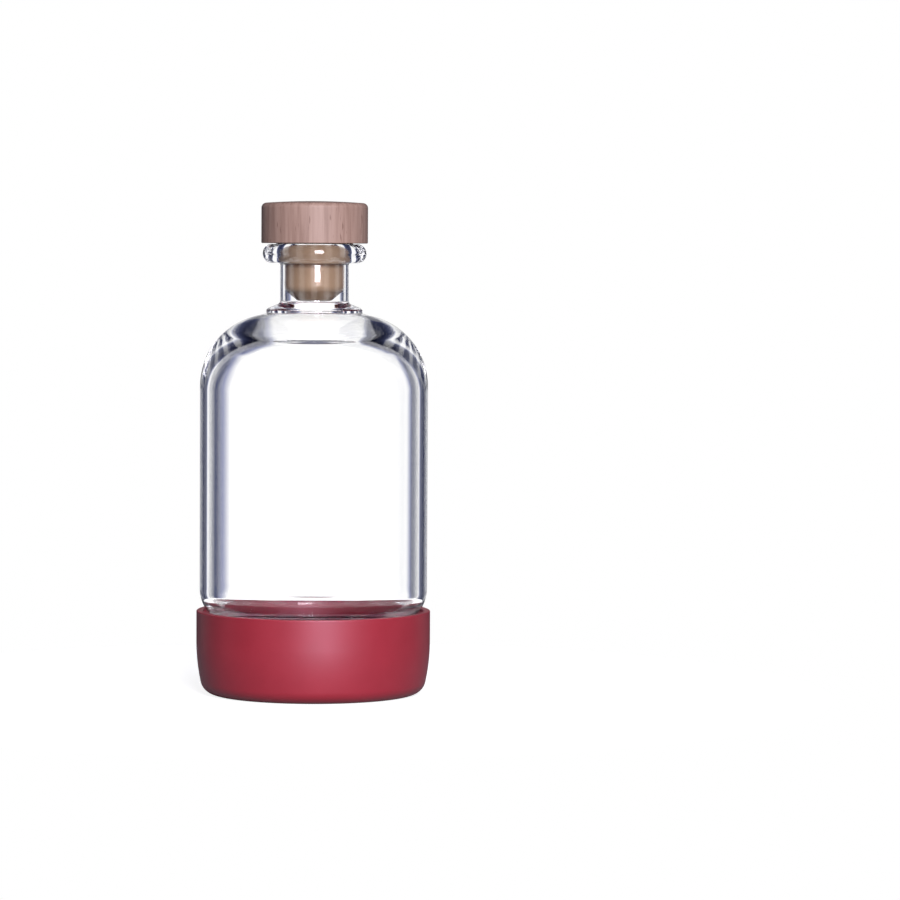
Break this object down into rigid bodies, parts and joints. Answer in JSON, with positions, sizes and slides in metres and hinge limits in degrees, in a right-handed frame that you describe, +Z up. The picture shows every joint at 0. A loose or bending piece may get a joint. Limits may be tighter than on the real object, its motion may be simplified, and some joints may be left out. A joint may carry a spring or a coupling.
{
  "type": "infusion bottle",
  "caption": "Clear thick-walled glass bottle with rounded shoulders, rolled lip and wooden stopper, standing in a shallow red silicone boot.",
  "frame": {"origin": "centre of the flat underside of the boot, on the axis of the bottle, at table height", "axes": "+Z up along the axis of the bottle, towards the stopper; X and Y lie in the table and are free, as the part is round"},
  "size_m": [0.0722, 0.0722, 0.152],
  "materials": {
    "glass": "polished, colourless",
    "silicone": "matte, moulded",
    "polymer": "smooth, beige",
    "beech": "fine sanded, unvarnished"
  },
  "bodies": {
    "root": {"glass_bottle": "glass", "silicone_boot": "silicone", "stopper_plug": "polymer", "stopper_cap": "beech"}
  },
  "joints": []
}
